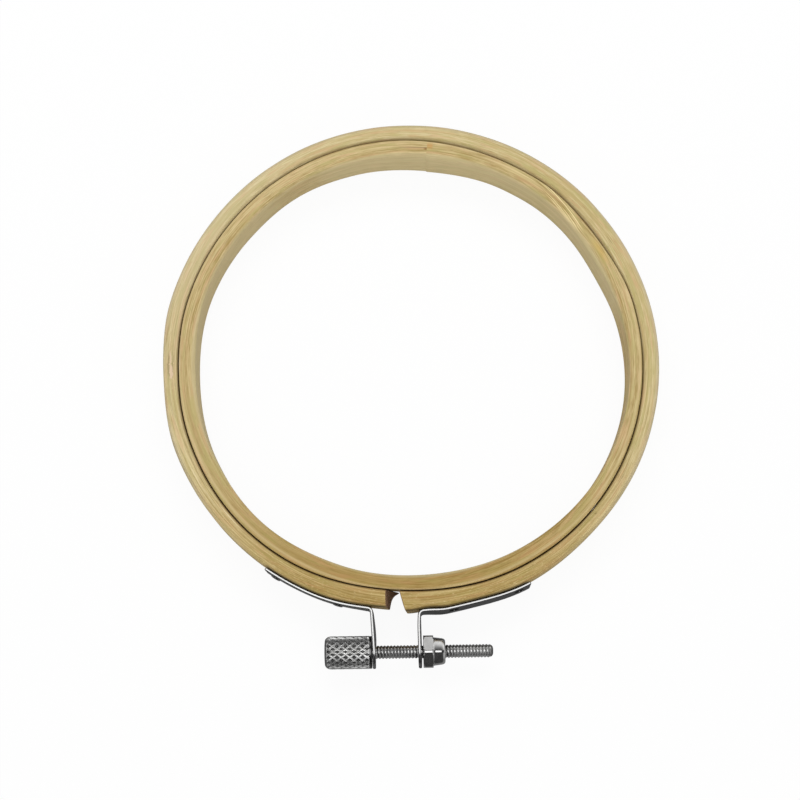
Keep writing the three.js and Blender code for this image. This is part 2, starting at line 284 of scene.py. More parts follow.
def wall_section(rows, inner, outer, inside_edge, outside_edge, arc_points=7, flat_points=9):
    """Rows of points that each go once round a wall: a rectangle from radius inner to outer and as high
    as the ring, whose corners are quarter circles of inside_edge and outside_edge. All four may change
    from row to row. Gives radii and heights, rows by points by 2, and the facing of each point."""
    inner, outer, inside_edge, outside_edge = (
        np.broadcast_to(value, rows).astype(float) for value in (inner, outer, inside_edge, outside_edge))
    edge = np.stack([outside_edge, outside_edge, inside_edge, inside_edge], -1)
    middle_radius = np.stack([outer, outer, inner, inner], -1) + edge * np.array([-1, -1, 1, 1])
    middle_height = edge * np.array([1, -1, -1, 1]) + RING_HEIGHT * np.array([0, 1, 1, 0])
    middle = np.stack([middle_radius, middle_height], -1)[:, :, None]
    turn = np.radians(np.array([-90, 0, 90, 180])[:, None] + np.linspace(0, 90, arc_points))
    facing = np.stack([np.cos(turn), np.sin(turn)], -1)
    arcs = middle + edge[:, :, None, None] * facing
    share = np.linspace(0, 1, flat_points + 2)[1:-1, None]
    flats = arcs[:, :, -1:] + share * (np.roll(arcs[:, :, :1], -1, axis=1) - arcs[:, :, -1:])
    facing = np.concatenate([facing, np.repeat(facing[:, -1:], flat_points, 1)], 1)
    return np.concatenate([arcs, flats], 2).reshape(rows, -1, 2), facing.reshape(-1, 2)


def line_angle(radius, facing, offset):
    """The angle at which a circle meets the straight line that lies offset from its middle."""
    return facing - np.arccos(offset / radius)


def turned_about_axis(angle, section):
    """Points from their angles and from their radii and heights."""
    return np.stack([section[..., 0] * np.cos(angle), section[..., 0] * np.sin(angle), section[..., 1]], -1)


def left_cut_x(section):
    """The left end's cut: it leans, so that its foot reaches further into the gap than its head, and
    more so inside than outside. The reach falls off as exp(-depth / 1.1)."""
    depth = section[:, 0] - section[:, 0].min()
    reach = LEFT_CUT_REACH + LEFT_CUT_WEDGE * np.exp(-depth / 1.1)
    return SPLIT_LEFT_X + reach * (1 - section[:, 1] / RING_HEIGHT)


def outer_ring(rows=880, edge_rows=4):
    """The split ring: its wall carried round from the slanted right end, which is cut back below, to
    the leaning left end. The last rows of each end draw in along a quarter circle of END_EDGE. Its
    inside edge is rounder where the rings lie loose and at the top."""
    quarter = np.linspace(0, math.pi / 2, edge_rows + 1)
    back = END_EDGE * (1 - np.cos(quarter))
    drawn_in = END_EDGE * (1 - np.sin(quarter))
    still = np.zeros(rows)
    share = np.concatenate([np.zeros_like(back), np.linspace(0.0008, 0.9992, rows), np.ones_like(back)])
    share = share[:, None]
    from_end = np.concatenate([back, still, -back[::-1]])[:, None]
    inset = np.concatenate([drawn_in, still, drawn_in[::-1]])[:, None, None]
    nominal = SPLIT_ANGLE + math.radians(2) + share[:, 0] * math.radians(356)
    loose = bent(nominal, LOOSE_BENDS)
    groove = bent(nominal, GROOVE_BENDS) + 0.95 * loose
    section, facing = wall_section(
        len(nominal), OUTER_RING[0] - groove, outside_radius(nominal),
        OUTER_RING_INSIDE_EDGE + 0.45 * loose + 0.45 * swell(np.degrees(nominal), 90, 70),
        OUTER_RING_OUTSIDE_EDGE)
    below = 1 - section[..., 1] / RING_HEIGHT
    inner_half = rise(section[..., 0], WALL_MIDDLE + 0.8, WALL_MIDDLE - 0.8)
    lean = inner_half * groove_lean(nominal)[:, None] + (1 - inner_half) * outside_lean(nominal)[:, None]
    section = section - np.stack([lean * below, 0 * lean], -1)
    slant_offset = (SPLIT_RIGHT_X - math.tan(SPLIT_SLANT) * WALL_MIDDLE) * math.cos(SPLIT_SLANT)
    undercut = RIGHT_END_UNDERCUT * (1 - section[0, :, 1] / RING_HEIGHT)
    first = line_angle(section[0, :, 0], SPLIT_SLANT, slant_offset + undercut)
    last = line_angle(section[-1, :, 0], 0.0, left_cut_x(section[-1])) + FULL_TURN
    angle = first + share * (last - first) + from_end / section[..., 0]
    section = section - inset * facing
    along = share * OUTER_RING_LENGTH + from_end + 0 * angle
    fibre = np.concatenate([along[..., None], section], -1)
    return solid("outer_ring_bamboo", turned_about_axis(angle, section), fibre, sharp=50)


def inner_ring(rows=880):
    """The inner ring: its wall carried once round, clockwise from the end of its lap, where it steps
    in. It is thin and loose in places, its inside edge is sanded away at the scarf, and lower down it
    is a little wider, so that no light comes up through the groove."""
    share = np.linspace(0, 1, rows + 1)
    angle = LAP_ANGLE - share * FULL_TURN
    degrees = np.degrees(LAP_ANGLE) - 360 * share
    lapped = LAP_STEP * rise(share, 0, 0.0015) * (1 - rise(share, 0.005, 0.06))
    groove = bent(angle, GROOVE_BENDS)
    sanded = SCARF_SANDED * (swell(degrees, 34, 16) + swell(degrees + 360, 34, 16))
    section, _ = wall_section(
        rows + 1, INNER_RING[0] - bent(angle, INSIDE_BENDS) - lapped,
        INNER_RING[1] - groove - bent(angle, LOOSE_BENDS),
        INNER_RING_INSIDE_EDGE + sanded, INNER_RING_OUTSIDE_EDGE)
    below = 1 - section[..., 1] / RING_HEIGHT
    wider = 1
    for middle, half_width, added in SNUG_PLACES:
        wider = wider + added * swell(degrees % 360, middle, half_width)
    belt = rise(section[..., 1], 0.8, 1.8) * (1 - rise(section[..., 1], 6.5, 8.5))
    outward = SNUG * wider[:, None] * belt - below * groove_lean(angle)[:, None]
    outward = outward * (section[..., 0] > WALL_MIDDLE - 3.5)
    section = section + np.stack([outward, 0 * outward], -1)
    points = turned_about_axis(angle[:, None], section)
    along = np.broadcast_to(share[:, None, None] * INNER_RING_LENGTH, section[..., :1].shape)
    fibre = np.concatenate([along, section], -1)
    return solid("inner_ring_bamboo", points[:-1], fibre, joined=True)


# Clamp

def foot_inside_radius(angle, side):
    """The radius of a foot's inside face: the wood's outside and the gap, which is wider at the left."""
    return outside_radius(angle) + SEAT_GAP + (LEFT_STAND_OFF if side < 0 else 0.0)


def bracket_path(side):
    """The middle line of a bent strip: from the ear's round end along the leaning ear, round the bend
    and along the foot, which follows the wood. Gives its points, how far along the strip each lies,
    and the angle at which the foot starts."""
    ear_x = LEFT_EAR_X if side < 0 else RIGHT_EAR_X
    lean = LEFT_EAR_LEAN if side < 0 else RIGHT_EAR_LEAN
    bend = BEND_RADIUS + STRIP_THICKNESS / 2
    guess = math.radians(-99 if side < 0 else -87)
    top_x = ear_x
    for _ in range(12):
        reach = float(foot_inside_radius(np.array(guess), side)) + STRIP_THICKNESS / 2 + bend
        bend_y = -math.sqrt(reach ** 2 - (top_x + side * bend) ** 2)
        top_x = ear_x - lean * (SCREW_Y - bend_y)
        guess = math.atan2(bend_y, top_x + side * bend)
    middle = np.array([top_x + side * bend, bend_y])
    ear_y = np.linspace(SCREW_Y - STRIP_WIDTH / 2, bend_y, 40)
    ear = np.stack([ear_x - lean * np.minimum(SCREW_Y - ear_y, 0), ear_y], -1)
    turn = np.linspace(math.pi if side > 0 else 0.0, guess + math.pi, 24)
    corner = middle + bend * np.stack([np.cos(turn), np.sin(turn)], -1)
    place = np.linspace(0, FOOT_LENGTH, 160)
    angle = guess + side * place / reach
    radius = foot_inside_radius(angle, side) + STRIP_THICKNESS / 2
    foot = radius[:, None] * np.stack([np.cos(angle), np.sin(angle)], -1)
    line = np.concatenate([ear, corner[1:-1], foot])
    steps = np.linalg.norm(np.diff(line, axis=0), axis=1)
    return line, np.concatenate([[0], np.cumsum(steps)]), guess


def bracket(name, side):
    """A flat strip with a round end and a hole there, bent along its path. The flat strip is a fan of
    points round the hole, then a grid; Solidify gives it its thickness and Bevel its edges. Each ear
    tilts, the left one only below its round end. The right foot splays outwards towards its lower edge
    and the left foot leans in."""
    line, along, _ = bracket_path(side)
    half = STRIP_WIDTH / 2
    fan_rows, fan_columns = 9, 96
    turns = np.linspace(0, FULL_TURN, fan_columns + 1)[:-1]
    out = np.stack([np.cos(turns), np.sin(turns)], -1)
    square = half / np.maximum(np.abs(np.cos(turns)), np.abs(np.sin(turns)))
    reach = np.where(np.cos(turns) > 0, square, half)
    share = np.linspace(0, 1, fan_rows)[:, None, None]
    fan = np.array([half, 0]) + out * (EAR_HOLE_RADIUS + share * (reach[None, :, None] - EAR_HOLE_RADIUS))
    corner_row, corner_column = grid_corners(fan_rows, fan_columns, False)
    fan_faces = corner_row * fan_columns + corner_column
    heights = np.unique(np.round(fan[-1, np.isclose(fan[-1, :, 0], STRIP_WIDTH), 1], 9))
    rows = np.linspace(STRIP_WIDTH, along[-1], 150)
    grid = np.stack(np.meshgrid(rows, heights, indexing="ij"), -1)
    columns = len(heights)
    row, column = np.meshgrid(np.arange(len(rows) - 1), np.arange(columns - 1), indexing="ij")
    first = (fan_rows * fan_columns + row * columns + column).reshape(-1, 1)
    strip_faces = first + np.array([0, columns, columns + 1, 1])
    flat = np.concatenate([fan.reshape(-1, 2), grid.reshape(-1, 2)])
    x = np.interp(flat[:, 0], along, line[:, 0])
    y = np.interp(flat[:, 0], along, line[:, 1])
    down = 0.5 - flat[:, 1] / STRIP_WIDTH
    outward = RIGHT_SPLAY * down if side > 0 else -outside_lean(np.arctan2(y, x)) * (0.15 + 0.7 * down)
    scale = 1 + outward * rise(flat[:, 0], 9, 16) / np.hypot(x, y)
    x, y = x * scale, y * scale
    tilted = flat[:, 1] / STRIP_WIDTH + 0.5 * side
    free = rise(flat[:, 0], 2, 7) if side < 0 else 1
    x = x - EAR_TILT * tilted * free * (1 - rise(flat[:, 0], 8, 14))
    points = np.stack([x, y, SCREW_Z + flat[:, 1]], -1)
    piece = new_piece(name, points, np.concatenate([fan_faces, strip_faces]))
    weld = piece.modifiers.new("weld", "WELD")
    weld.merge_threshold = 1e-6
    solidify = piece.modifiers.new("thickness", "SOLIDIFY")
    solidify.thickness = STRIP_THICKNESS * MM
    solidify.offset = 0.0
    bevel = piece.modifiers.new("edges", "BEVEL")
    bevel.width = STRIP_EDGE * MM
    bevel.segments = 3
    bevel.limit_method = "ANGLE"
    bevel.angle_limit = math.radians(50)
    return piece


def brad(name, angle, side):
    """A nail through a foot: a turned shape, its head domed and its shank in the wood."""
    splayed = RIGHT_SPLAY / 2 if side > 0 else -float(outside_lean(np.array(angle))) / 2
    base = float(foot_inside_radius(np.array(angle), side)) + splayed + STRIP_THICKNESS + FACE_GAP
    dome = np.radians(np.linspace(90, 10, 9))
    radius = np.concatenate([
        [0.001], BRAD_HEAD_RADIUS * np.cos(dome), [BRAD_HEAD_RADIUS, BRAD_HEAD_RADIUS - 0.03],
        [BRAD_SHANK_RADIUS, BRAD_SHANK_RADIUS, 0.05]])
    tip = -(FACE_GAP + STRIP_THICKNESS + SEAT_GAP + BRAD_DEPTH)
    reach = np.concatenate([
        [BRAD_HEAD_HEIGHT], BRAD_HEAD_HEIGHT * (0.3 + 0.7 * np.sin(dome)), [0.03, 0.0],
        [-0.02, tip + 0.5, tip]])
    turn = np.linspace(0, FULL_TURN, 33)[:-1]
    across = radius[:, None] * np.cos(turn)
    up = radius[:, None] * np.sin(turn)
    out = (base + reach)[:, None] + 0 * turn
    points = np.stack([
        out * math.cos(angle) - across * math.sin(angle),
        out * math.sin(angle) + across * math.cos(angle),
        SCREW_Z + up], -1)
    return solid(name, points, sharp=40)


# Screw and nut

def ridge(place):
    """A row of grooves one apart: 0 in the bottom of each groove and 1 halfway between two."""
    return 1 - np.abs(2 * (place % 1) - 1)


def knob():
    """A barrel between two plain rims. Two crossed families of slanting ridges stand up from it: the
    depth is the lesser of ridge(a + b) and ridge(a - b), a round the barrel and b along it."""
    start, end = KNOB_X
    left_rim, right_rim, left_corner, right_corner = 0.5, 0.6, 1.25, 0.25
    x = np.linspace(start + left_rim, end - right_rim, 161)
    quarter = np.linspace(0, math.pi / 2, 9)
    left_x = start + left_corner * (1 - np.cos(quarter))
    right_x = end - right_corner * (1 - np.cos(quarter))[::-1]
    x = np.unique(np.round(np.concatenate([left_x[left_x < x[0]], x, right_x]), 6))[:, None]
    turn = np.linspace(0, FULL_TURN, 16 * KNURL_STARTS + 1)[:-1]
    around = KNURL_STARTS * turn / FULL_TURN
    length = (x - start) / KNURL_PITCH
    depth = np.minimum(ridge(around + length), ridge(around - length))
    inside = np.minimum(x - start - left_rim, end - right_rim - x)
    cut = np.clip(inside / 0.12, 0, 1)
    from_left = np.clip((start + left_corner - x) / left_corner, 0, 1)
    from_right = np.clip((x - end + right_corner) / right_corner, 0, 1)
    left_drop = 1.05 * (1 - np.sqrt(1 - from_left ** 2))
    right_drop = right_corner * (1 - np.sqrt(1 - from_right ** 2))
    outline = KNOB_RADIUS - 0.05 * (1 - cut) - left_drop - right_drop
    radius = outline - KNURL_DEPTH * np.minimum(depth * 1.3, 1) * cut
    return solid("knurled_knob_barrel", about_screw(x, radius, turn), sharp=34)


def rod():
    """The screw: a radius that rises and falls once per pitch along a right-hand helix, and is cut
    off by a dome at the tip."""
    start = KNOB_X[1] - 0.6
    x = np.append(np.arange(start, ROD_TIP_X, THREAD_PITCH / 14), ROD_TIP_X)[:, None]
    turn = np.linspace(0, FULL_TURN, 49)[:-1]
    wave = ridge(x / THREAD_PITCH + turn / FULL_TURN)
    profile = np.clip((wave - 0.12) / 0.6, 0, 1)
    radius = THREAD_RADIUS - THREAD_DEPTH * (1 - profile)
    back = np.clip(ROD_TIP_X - x, 0, 1.1) / 1.1
    dome = 0.55 + (THREAD_RADIUS - 0.55) * np.sqrt(1 - (1 - back) ** 2)
    return solid("threaded_rod_steel", about_screw(x, np.minimum(radius, dome), turn))


def nut():
    """A hexagon with its corners turned off, stepping down to a collar that is still a little flat
    below the faces and has a rolled lip, and a bore through both."""
    start, end = NUT_X
    turn = np.linspace(0, FULL_TURN, 193)[:-1]
    face = (turn - math.pi / 2 - NUT_TURN) % (math.pi / 3) - math.pi / 6
    hexagon = np.minimum(NUT_FLAT / np.cos(face), NUT_FLAT / math.cos(math.pi / 6) - 0.12)
    hex_x = np.linspace(0, NUT_HEX_LENGTH, 15)
    limit = NUT_FLAT + 0.1 + np.minimum(hex_x, NUT_HEX_LENGTH - hex_x) * 1.3
    hex_radius = np.minimum(hexagon, limit[:, None])
    quarter = np.linspace(0, math.pi / 2, 7)[1:]
    lip_length, lip_drop = COLLAR_LIP
    collar_x = NUT_HEX_LENGTH + np.concatenate([
        [0.02, 0.12, 0.3], np.linspace(0.6, COLLAR_LIP_START, 5),
        COLLAR_LIP_START + lip_length * np.sin(quarter)])
    collar_radius = COLLAR_RADIUS + np.concatenate([
        [0.5, 0.44, 0.4], np.linspace(0.36, 0.18, 5), 0.12 - lip_drop * (1 - np.cos(quarter))])
    flattened = 0.93 + 0.5 * (1 / np.cos(face) - 1)
    outside = np.concatenate([hex_radius, collar_radius[:, None] * np.minimum(flattened, 0.985)])
    bore = np.repeat(NUT_BORE + np.array([[0.1], [0], [0], [0.1]]), len(turn), 1)
    x = np.concatenate([start + hex_x, start + collar_x, [end, end - 0.1, start + 0.1, start]])
    radius = np.concatenate([outside, bore])
    return solid("lock_nut_body", about_screw(x[:, None], radius, turn), joined=True, sharp=28)


# Materials

class Signal:
    """A socket that takes part in sums: each operation adds the Math node that works it out."""

    def __init__(self, shader, socket):
        self.shader = shader
        self.socket = socket

    def math(self, operation, *values):
        return self.shader.add("Math", {"operation": operation}, dict(enumerate((self, *values))))

    def __add__(self, other):
        return self.math("ADD", other)

    __radd__ = __add__

    def __sub__(self, other):
        return self.math("SUBTRACT", other)

    def __rsub__(self, other):
        return self.shader.add("Math", {"operation": "SUBTRACT"}, {0: other, 1: self})

    def __mul__(self, other):
        return self.math("MULTIPLY", other)

    def __truediv__(self, other):
        return self.math("DIVIDE", other)

    def most(self, other):
        return self.math("MAXIMUM", other)

    def size(self):
        return self.math("ABSOLUTE")

    def power(self, other):
        return self.math("POWER", other)

    def ramp(self, low, high):
        """0 at low and 1 at high, eased at both ends."""
        settings = {"interpolation_type": "SMOOTHSTEP", "clamp": True}
        return self.shader.add("MapRange", settings, {"Value": self, "From Min": low, "From Max": high})

    def near(self, middle, half_width):
        """1 at the middle, easing to 0 half a width away."""
        return 1 - (self - middle).size().ramp(0.0, half_width)


class Shader:
    """The nodes of a material or of the world, and the one method that makes them."""

    def __init__(self, owner):
        owner.use_nodes = True
        self.owner = owner
        self.tree = owner.node_tree
        self.tree.nodes.clear()

    @classmethod
    def named(cls, name):
        return cls(bpy.data.materials.new(name))

    def add(self, kind, settings, sockets, output=0):
        """Makes a node, sets it up, then gives its sockets their values or links."""
        node = self.tree.nodes.new("ShaderNode" + kind)
        for key, value in settings.items():
            setattr(node, key, value)
        for key, value in sockets.items():
            if isinstance(value, Signal):
                self.tree.links.new(value.socket, node.inputs[key])
            else:
                node.inputs[key].default_value = value
        return Signal(self, node.outputs[output]) if node.outputs else None

    def split(self, place):
        """The three parts of a vector."""
        return [self.add("SeparateXYZ", {}, {"Vector": place}, part) for part in range(3)]

    def join(self, x, y, z):
        """A vector from its three parts."""
        return self.add("CombineXYZ", {}, {0: x, 1: y, 2: z})

    def mix(self, factor, first, second, blend="MIX"):
        """Mixes two colours."""
        colours = [c if isinstance(c, Signal) else (*c, 1) for c in (first, second)]
        settings = {"data_type": "RGBA", "blend_type": blend}
        return self.add("Mix", settings, {0: factor, 6: colours[0], 7: colours[1]}, 2)

    def noise(self, place, scale, detail=2.0, roughness=0.5):
        """Noise from 0 to 1 at a place stretched by scale, which is one number or one for each axis."""
        if not isinstance(scale, (int, float)):
            place = self.add("VectorMath", {"operation": "MULTIPLY"}, {0: place, 1: scale})
            scale = 1.0
        sockets = {"Vector": place, "Scale": scale, "Detail": detail, "Roughness": roughness}
        return self.add("TexNoise", {}, sockets)

    def bump(self, height, strength, distance):
        """A surface direction that leans as the height would make it; distance is in metres."""
        return self.add("Bump", {}, {"Strength": strength, "Distance": distance, "Height": height})

    def finish(self, **sockets):
        """The surface that everything ends in."""
        names = {key.replace("_", " ").title().replace("Ior", "IOR"): value for key, value in sockets.items()}
        surface = self.add("BsdfPrincipled", {}, names)
        self.add("OutputMaterial", {}, {"Surface": surface})
        return self.owner


def srgb(red, green, blue):
    """A colour as it is seen, 0 to 255, turned into the linear values that nodes take."""
    value = np.array([red, green, blue]) / 255
    linear = np.where(value <= 0.04045, value / 12.92, ((value + 0.055) / 1.055) ** 2.4)
    return tuple(float(v) for v in linear)


DARK_BROWN = srgb(88, 62, 34)
SCAR_PINK = srgb(226, 196, 170)
BLUSH = srgb(206, 170, 128)
KHAKI = srgb(182, 172, 112)
# Painted shade colour: multiplies the wood darker and warmer towards the front.
FRONT_SHADE_TINT = (0.745, 0.648, 0.458)


def bamboo(name, pale, gold, marks, calm=0.0):
    """Bamboo: long fibres that follow the bent strip, soft blotches of pink and khaki, small dark dashes, a
    darker, warmer tint towards the clamp that is painted shade for the less lit front, and the marks of this
    ring.
    marks takes the shader, the place in the wood and the colour, and gives back the colour and a
    height to add to the bump. calm is how far the streaks fade at the lower left."""
    shader = Shader.named(name)
    fibre = shader.add("Attribute", {"attribute_name": "fibre"}, {}, 1)
    along, across, height = shader.split(fibre)
    streak = shader.noise(fibre, (0.035, 3.4, 3.4), 4.0, 0.65)
    broad = shader.noise(fibre, (0.02, 0.8, 0.8), 2.0, 0.5)
    fine = shader.noise(fibre, (0.28, 4.2, 4.2), 3.0, 0.6)
    dash = shader.noise(fibre, (0.32, 5.5, 5.5), 2.0, 0.5)
    blush = shader.noise(fibre, (0.15, 1.2, 1.2), 2.0, 0.5)
    khaki = shader.noise(shader.add("VectorMath", {"operation": "ADD"}, {0: fibre, 1: (40.0, 9.0, 4.0)}),
                         (0.13, 1.1, 1.1), 2.0, 0.5)
    tone = (streak * 0.4 + broad * 0.25 + fine * 0.35).ramp(0.42, 0.59)
    tone = tone + (0.5 - tone) * along.near(188.0, 50.0).ramp(0.0, 0.4) * calm
    colour = shader.mix(tone, gold, pale)
    colour = shader.mix(blush.ramp(0.48, 0.66) * 0.5, colour, BLUSH)
    colour = shader.mix(khaki.ramp(0.48, 0.66) * 0.5, colour, KHAKI)
    colour = shader.mix(dash.ramp(0.62, 0.74) * 0.35, colour, DARK_BROWN)
    # Painted shade: the wood grows darker and warmer towards the front, where less light falls.
    front_shade = shader.split(shader.add("TexCoord", {}, {}, 3))[1].ramp(-0.01, -0.05)
    colour = shader.mix(front_shade, colour, FRONT_SHADE_TINT, "MULTIPLY")
    colour, raised, dull = marks(shader, fibre, (along, across, height), colour)
    relief = streak * 0.5 + fine * 0.3 - dash.ramp(0.6, 0.75) * 0.4 + raised
    return shader.finish(
        base_color=colour, roughness=0.34 + fine * 0.16 + dull * 0.4,
        normal=shader.bump(relief, 0.3, 0.00015), specular_ior_level=0.06)


def outer_marks(shader, fibre, place, colour):
    """The outer ring's marks: dark end grain, a pale scar at the node, two pale scratches, a brown speck, a
    creamier stretch at the upper left, clearer lines and pale flecks on the side of the clamp, painted brown
    shade down the groove, painted shadow beside the clamp's feet and a painted grey sheen on the rounded
    outside edge."""
    along, across, height = place
    pores = shader.noise(fibre, (0.0, 4.5, 4.5), 1.0, 0.5)
    end_grain = shader.mix(pores.ramp(0.45, 0.6), srgb(160, 128, 100), srgb(100, 76, 62))
    cut = along.ramp(0.16, 0.06).most(along.ramp(OUTER_RING_LENGTH - 0.16, OUTER_RING_LENGTH - 0.06))
    wobble = (shader.noise(fibre, (0.8, 0.0, 0.0), 2.0) - 0.5) * 1.6
    torn = across + wobble
    blotch = along.near(NODE_ALONG + 0.3, 2.4) * torn.near(52.1, 0.6)
    tails = along.near(NODE_ALONG - 1.6, 5.2) * torn.near(52.2, 0.26)
    scar = blotch.most(tails * 0.7).ramp(0.12, 0.45) * height.ramp(8.6, 9.6)
    rim = along.near(NODE_ALONG - 1.4, 5.5) * torn.near(52.65, 0.38).most(torn.near(51.65, 0.3))
    colour = shader.mix(rim.ramp(0.1, 0.8) * 0.4, colour, DARK_BROWN)
    colour = shader.mix(scar * 0.72, colour, SCAR_PINK)
    scratch = (across - 52.9 + wobble * 0.25).size().ramp(0.2, 0.08) * along.near(279.0, 6.0)
    second = (across - 51.9 - wobble * 0.2).size().ramp(0.18, 0.07) * along.near(291.0, 5.0)
    colour = shader.mix(scratch.most(second) * height.ramp(9.0, 9.8) * 0.7, colour, srgb(236, 218, 176))
    speck = along.near(SPECK_ALONG, 0.5) * across.near(52.3, 0.4)
    colour = shader.mix(speck.ramp(0.2, 0.7) * 0.35, colour, DARK_BROWN)
    cream = along.near(226.0, 52.0)
    colour = shader.mix(cream * 0.2, colour, srgb(232, 220, 192))
    # Painted shade: the groove's shadow as brown down the outer ring's inside edge, weaker at the top.
    groove = across.ramp(52.2, 51.7) * height.ramp(9.99, 9.6) * height.ramp(7.0, 9.0)
    top = along.near(160.0, 115.0).ramp(0.0, 0.5)
    lines = shader.noise(fibre, (0.06, 4.6, 4.6), 2.0, 0.6)
    colour = shader.mix(lines.ramp(0.52, 0.66) * (1 - top) * 0.4, colour, srgb(226, 204, 150))
    colour = shader.mix(lines.ramp(0.46, 0.34) * (1 - top) * 0.4, colour, srgb(128, 100, 54))
    flecks = shader.noise(fibre, (1.1, 5.0, 5.0), 1.0, 0.5)
    colour = shader.mix(flecks.ramp(0.6, 0.72) * (1 - top) * 0.4, colour, srgb(226, 206, 156))
    colour = shader.mix(groove * (0.8 - top * 0.6), colour, srgb(92, 64, 32))
    # Painted shadow: dark brown on the wood beside and below the clamp's feet.
    foot = along.ramp(27.0, 25.5) * along.ramp(0.0, 0.3)
    foot = foot.most(along.ramp(OUTER_RING_LENGTH - 27.5, OUTER_RING_LENGTH - 26.0))
    strip_shadow = across.ramp(52.4, 53.0) * height.near(8.4, 1.5).ramp(0.05, 0.4)
    colour = shader.mix(foot * strip_shadow * 0.7, colour, srgb(46, 36, 22))
    # Painted sheen: the rounded outside edge is paled and greyed, away from the clamp.
    sheen_stretch = along.ramp(26.0, 60.0) * along.ramp(OUTER_RING_LENGTH - 27.0, OUTER_RING_LENGTH - 60.0)
    outside_sheen = across.ramp(53.3, 54.4) * sheen_stretch * 0.4
    colour = shader.mix(outside_sheen, colour, srgb(190, 180, 156))
    return shader.mix(cut, colour, end_grain), scar * 0.8 - cut * pores * 0.5, cut.most(groove)


def inner_marks(shader, fibre, place, colour):
    """The inner ring's marks: the lap's orange and brown ends and its seam, the fanned pale fibres of the
    scarf with a pale band and a golden patch beside it, a pale streak at the left, a painted highlight along
    the edge by the groove, painted shade on the side in the groove, nearly black near the clamp, and a paler
    inside that is partly its own tone and partly painted light."""
    along, across, height = place
    face = height.ramp(9.2, 9.7)
    after_lap = along.ramp(0.0, 0.15) * along.ramp(1.5, 1.0)
    colour = shader.mix(after_lap * across.near(49.6, 1.4) * face * 0.55, colour, srgb(200, 150, 84))
    before_lap = along.ramp(INNER_RING_LENGTH - 0.9, INNER_RING_LENGTH - 0.2)
    colour = shader.mix(before_lap * across.near(48.75, 0.5) * face * 0.75, colour, srgb(128, 88, 42))
    seam = (across - 49.0).size().ramp(0.16, 0.05) * along.ramp(INNER_RING_LENGTH - 9, INNER_RING_LENGTH - 3)
    colour = shader.mix(seam * face * 0.45, colour, DARK_BROWN)
    past = along - SCARF_ALONG
    slant = past * 0.14 + across - 49.2
    fan = shader.noise(shader.join(past * 0.05, slant * 3.2, height * 0.1), 1.0, 2.0)
    scarf = past.near(0.0, 12.0) * slant.near(0.0, 1.9) * height.ramp(8.4, 9.5)
    colour = shader.mix(scarf.ramp(0.1, 0.5) * fan.ramp(0.5, 0.6) * 0.9, colour, srgb(240, 220, 166))
    colour = shader.mix(scarf.ramp(0.1, 0.5) * fan.ramp(0.47, 0.38) * 0.65, colour, srgb(140, 106, 54))
    band = past.near(-11.0, 12.0) * across.near(49.2, 0.7).ramp(0.1, 0.5) * face
    colour = shader.mix(band * 0.5, colour, srgb(226, 206, 154))
    golden = past.near(14.0, 5.0) * across.near(49.0, 1.1) * face
    colour = shader.mix(golden * 0.5, colour, srgb(208, 174, 92))
    pale = along.near(STREAK_ALONG, 4.0) * across.near(50.3, 0.35) * face
    colour = shader.mix(pale * 0.6, colour, SCAR_PINK)
    # Painted highlight along the face's edge by the groove.
    groove_edge_highlight = (across - 50.3).size().ramp(0.5, 0.05) * face
    colour = shader.mix(groove_edge_highlight * 0.4, colour, srgb(220, 200, 152))
    # Painted shade: the groove's shadow on the ring's outside, nearly black towards the clamp.
    side = across.ramp(49.7, 50.0) * height.ramp(9.9, 9.45) * height.ramp(7.0, 9.0)
    low = along.near(166.0, 115.0).ramp(0.15, 0.6)
    colour = shader.mix(side * (low * 0.56 + 0.42), colour, srgb(28, 19, 10))
    # The inside's own paler tone, made paler still as painted light on the inner wall.
    inside = across.ramp(48.0, 47.4)
    return shader.mix(inside * 0.6, colour, srgb(206, 192, 150)), pale * 0.3, side


def clouded(shader, tint, amount):
    """A metal's tint with faint cloudy patches, and the fine rubbing that goes into its bump."""
    place = shader.add("TexCoord", {}, {}, 3)
    rubbed = shader.noise(place, 900.0, 3.0, 0.6)
    cloudy = shader.noise(place, 260.0, 2.0, 0.5)
    return shader.mix(cloudy.ramp(0.35, 0.65), tuple((1 - amount) * v for v in tint), tint), rubbed


def from_screw(shader):
    """Where a point lies along the screw and above its axis, and how far from it, in millimetres."""
    x, y, z = shader.split(shader.add("TexCoord", {}, {}, 3))
    front = (SCREW_Y + AXIS_Y) - y / MM
    up = z / MM - SCREW_Z
    return x / MM, up, (front * front + up * up).power(0.5)


def plated_screw(name, tint, valley, depth, roughness, shaded_from=None):
    """Plated steel that is darker in its valleys: the darkening clears between the distance valley from the
    screw's axis and depth further out. Past the place that its last argument gives, along the screw, it is
    painted nearly black, as painted shade next to the ear."""
    shader = Shader.named(name)
    colour, rubbed = clouded(shader, tint, 0.25)
    place, _, distance = from_screw(shader)
    # Darker in the valleys of the knurl and thread, clearing outwards.
    off_valley = distance.ramp(valley, valley + depth)
    colour = shader.mix(off_valley, tuple(0.22 * v for v in tint), colour)
    # Painted shade: nearly black from there on, where the knob's end meets the ear.
    if shaded_from is not None:
        colour = shader.mix(place.ramp(shaded_from - 0.05, shaded_from + 0.05) * 0.9, colour, (0.03, 0.03, 0.03))
    return shader.finish(
        base_color=colour, metallic=1.0, roughness=roughness + (1 - off_valley) * 0.2 + rubbed * 0.1,
        normal=shader.bump(rubbed, 0.15, 0.00004))


